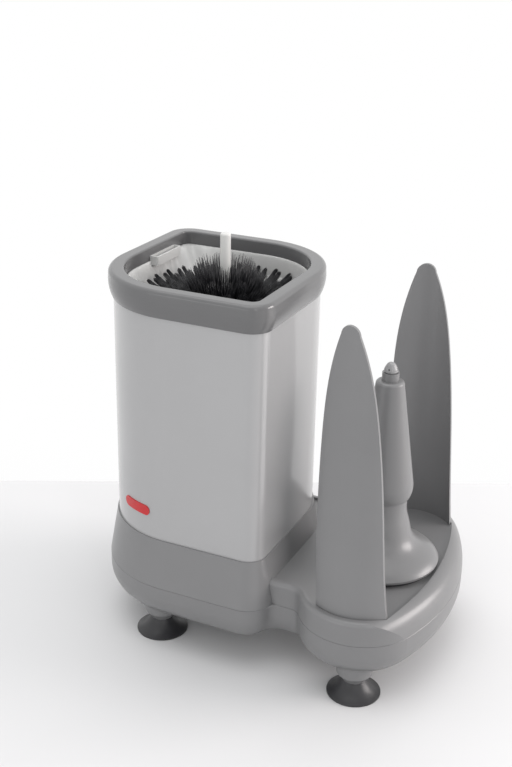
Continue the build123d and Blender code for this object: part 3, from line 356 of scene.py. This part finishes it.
def filament_mesh(name, rows):
    """One mesh for many filaments: a square tube round each curve, thin and closed at its tip."""
    curve, sides, rises = (np.concatenate(parts) for parts in zip(*rows))
    number, steps = curve.shape[:2]
    thickness = filament_radius * np.array([1.0, 1.0, 1.0, 1.0, 0.9, 0.45])
    thickness = thickness[None, :, None, None]
    turn = np.arange(4)[:, None] * np.pi / 2
    section = np.cos(turn) * sides[:, :, None] + np.sin(turn) * rises[:, :, None]
    points = curve[:, :, None] + section * thickness
    index = np.arange(number * steps * 4).reshape(number, steps, 4)
    following = np.roll(index, -1, axis=2)
    walls = np.stack(
        [index[:, :-1], following[:, :-1], following[:, 1:], index[:, 1:]], -1
    ).reshape(-1, 4)
    faces = np.concatenate([walls, index[:, 0, ::-1], index[:, -1]])
    mesh = bpy.data.meshes.new(name)
    mesh.from_pydata(points.reshape(-1, 3).tolist(), [], faces.tolist())
    shape = bmesh.new()
    shape.from_mesh(mesh)
    bmesh.ops.recalc_face_normals(shape, faces=shape.faces)
    shape.to_mesh(mesh)
    shape.free()
    mesh.shade_smooth()
    mesh.materials.append(filament)
    piece = bpy.data.objects.new(name, mesh)
    bpy.context.scene.collection.objects.link(piece)
    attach(piece, "brush")
    return piece


hub_face = brush_high.z
draw = np.random.default_rng(7)
root_height = hub_face - 0.004
outer_crown = filament_mesh("outer_bristles", [
    tuft_row(draw, 24, 46, (0.024, root_height), (0.0690, 0.3042), (0.0022, 0.0016, 0.0010), 0),
    tuft_row(draw, 24, 46, (0.022, root_height), (0.0650, 0.3040), (0.0022, 0.0018, 0.0012), 0.5),
])
filament_mesh("middle_bristles", [
    tuft_row(draw, 24, 42, (0.020, root_height), (0.0570, 0.3040), (0.0022, 0.0026, 0.0014), 0.2),
    tuft_row(draw, 22, 42, (0.018, root_height), (0.0490, 0.3045), (0.0022, 0.0034, 0.0018), 0.6),
])
inner_crown = filament_mesh("inner_bristles", [
    tuft_row(draw, 18, 32, (0.0155, root_height), (0.0400, 0.3080), (0.0020, 0.0056, 0.0015), 0),
    tuft_row(draw, 16, 30, (0.013, root_height), (0.0320, 0.3170), (0.0020, 0.0070, 0.0010), 0.3),
    tuft_row(draw, 12, 30, (0.0095, root_height), (0.0225, 0.3280), (0.0018, 0.0078, 0.0005), 0.5),
])
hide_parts("outer_tufts")
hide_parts("inner_tufts")

# ---- Drive ------------------------------------------------------------------------------------
# Tap water spins a paddle wheel, and its pinion turns the brush's large gear. The housings are
# black glass-filled nylon mouldings, and the shafts run in sintered bronze bushes.

# Bronze and brass, sintered or turned: warm yellow metal, dulled by water
bronze = finish_of(
    "bronze_sintered", ("#b08a4a", "#9a7740"), 5, (0.3, 0.45), 3, 0.6, 0.01, Metallic=1.0
)
paint(bronze, "upper_bush", "lower_bush", "turbine_lower_bush", "turbine_upper_bush")
paint(black_nylon, "turbine_housing", "gearbox_housing")

# ---- Plumbing ---------------------------------------------------------------------------------
# A brass hose connector takes the tap's water to a nylon manifold, which feeds the turbine and
# the rinsing valve through natural polypropylene pipes. A black pipe drains the tub.
paint(bronze, "inlet_connector")
paint(stainless, "inlet_strainer")
paint(black_nylon, "water_manifold", "drain_pipe", "rinse_valve")

# Natural polypropylene pipe, extruded: milky, a little glossy
milky_pipe = finish_of(
    "polypropylene_pipe_extruded", ("#cfd0cc", "#dadbd7"), 14, (0.3, 0.42), 8, 1.0, 0.006, IOR=1.49
)
paint(milky_pipe, "supply_pipe", "feed_pipe", "rinse_pipe")

# ---- Rinser -----------------------------------------------------------------------------------
# A hollow trumpet column carries a sliding sleeve with a spring inside. A glass pushed down on
# the jet tip presses the sleeve and opens the valve below the deck.
paint(grey_abs, "nozzle_column", "rinse_sleeve", "collar_ring")
paint(stainless, "plunger", "rinse_spring")

# Acetal, moulded: light grey, smooth
light_acetal = finish_of(
    "light_acetal_moulded", ("#8e8e8f", "#969697"), 6, (0.28, 0.36), 4, 0.8, 0.005, IOR=1.48
)
paint(light_acetal, "jet_tip")

# ---- Guards -----------------------------------------------------------------------------------
# Two tall half-round fins, moulded in the same grey ABS, keep the glass over the jet.
paint(grey_abs, "front_fin", "rear_fin")

# ---- Worktop and light ------------------------------------------------------------------------
# The machine stands on a pale matt table before a white studio background, under wide soft lights.
white_top = finish_of(
    "laminate_pressed", ("#d8d8d9", "#dcdcdd"), 400, (0.5, 0.6), 80, 1.5, 0.004, IOR=1.45
)
top_reach = 2.5
top_width = 3.0
top_gap = 0.0002
back_left = np.array([-0.3898, 0.0955])
back_right = np.array([0.1259, 0.3544])
edge_run = (back_right - back_left) / np.linalg.norm(back_right - back_left)
edge_front = np.array([edge_run[1], -edge_run[0]])
edge_middle = (back_left + back_right) / 2
corners = np.array([
    edge_middle + side * top_reach * edge_run + depth * edge_front
    for side, depth in ((-1, 0), (1, 0), (1, top_width), (-1, top_width))
])
top_mesh = bpy.data.meshes.new("worktop")
top_points = np.concatenate([corners, np.full((4, 1), cad_box[0].z - top_gap)], 1)
top_mesh.from_pydata(top_points.tolist(), [], [(3, 2, 1, 0)])
top_mesh.materials.append(white_top)
worktop = bpy.data.objects.new("worktop", top_mesh)
bpy.context.scene.collection.objects.link(worktop)


def softbox(name, place, aim, size, power, tint):
    """A wide area light at a place, facing a point."""
    lamp = bpy.data.lights.new(name, "AREA")
    lamp.shape = "RECTANGLE"
    lamp.size, lamp.size_y = size
    lamp.energy = power
    lamp.color = linear(tint)[:3]
    holder = bpy.data.objects.new(name, lamp)
    holder.matrix_world = Matrix.Translation(place) @ (
        Vector(aim) - Vector(place)
    ).to_track_quat("-Z", "Y").to_matrix().to_4x4()
    bpy.context.scene.collection.objects.link(holder)


softbox("overhead_light", (-0.2, -0.1, 2.2), (0, 0, 0.1), (2.2, 1.6), 14, "#ffffff")
softbox("right_light", (1.9, 0.9, 0.75), (0, 0, 0.22), (1.2, 0.9), 30, "#fff8f6")
softbox("low_front_fill", (-0.5, -2.4, 0.5), (0, 0, 0.1), (2.4, 0.8), 8, "#ffffff")
softbox("corner_strip", (1.3, -1.5, 0.9), (0, 0, 0.2), (0.12, 1.5), 3, "#ffffff")

# The studio is brightest behind the machine, up and to the left, and dims to the front
bright_side = (-0.35, 0.75, 0.56)
sky = bpy.data.worlds.new("white_studio")
sky.use_nodes = True
bpy.context.scene.world = sky
tree = sky.node_tree
toward = add_node(tree, "ShaderNodeTexCoord", {}).outputs["Generated"]
facing = add_node(
    tree, "ShaderNodeVectorMath", {0: toward}, operation="DOT_PRODUCT"
)
facing.inputs[1].default_value = bright_side
level = add_node(
    tree, "ShaderNodeMapRange",
    {"Value": facing.outputs["Value"], "From Min": -0.7, "From Max": 0.5,
     "To Min": 0.70, "To Max": 1.0},
)
tree.links.new(level.outputs["Result"], tree.nodes["Background"].inputs["Strength"])
tree.nodes["Background"].inputs["Color"].default_value = linear("#ffffff")

# ---- Camera -----------------------------------------------------------------------------------
# A short telephoto view from above the front right of the machine.
turn, dip, roll = np.radians([24.914, 22.287, 1.131])
forward = Vector((-np.sin(turn) * np.cos(dip), np.cos(turn) * np.cos(dip), -np.sin(dip)))
level_right = Vector((np.cos(turn), np.sin(turn), 0))
level_up = level_right.cross(forward)
right = np.cos(roll) * level_right + np.sin(roll) * level_up
up = np.cos(roll) * level_up - np.sin(roll) * level_right
lens = bpy.data.cameras.new("view")
lens.lens = 55.56
lens.sensor_width = 36
eye = (0.36653, -0.85770, 0.60839)
camera = bpy.data.objects.new("view", lens)
camera.matrix_world = Matrix.Translation(eye) @ Matrix(
    (right, up, -forward)
).transposed().to_4x4()
bpy.context.scene.collection.objects.link(camera)
bpy.context.scene.camera = camera
bpy.context.scene.view_settings.view_transform = "Standard"
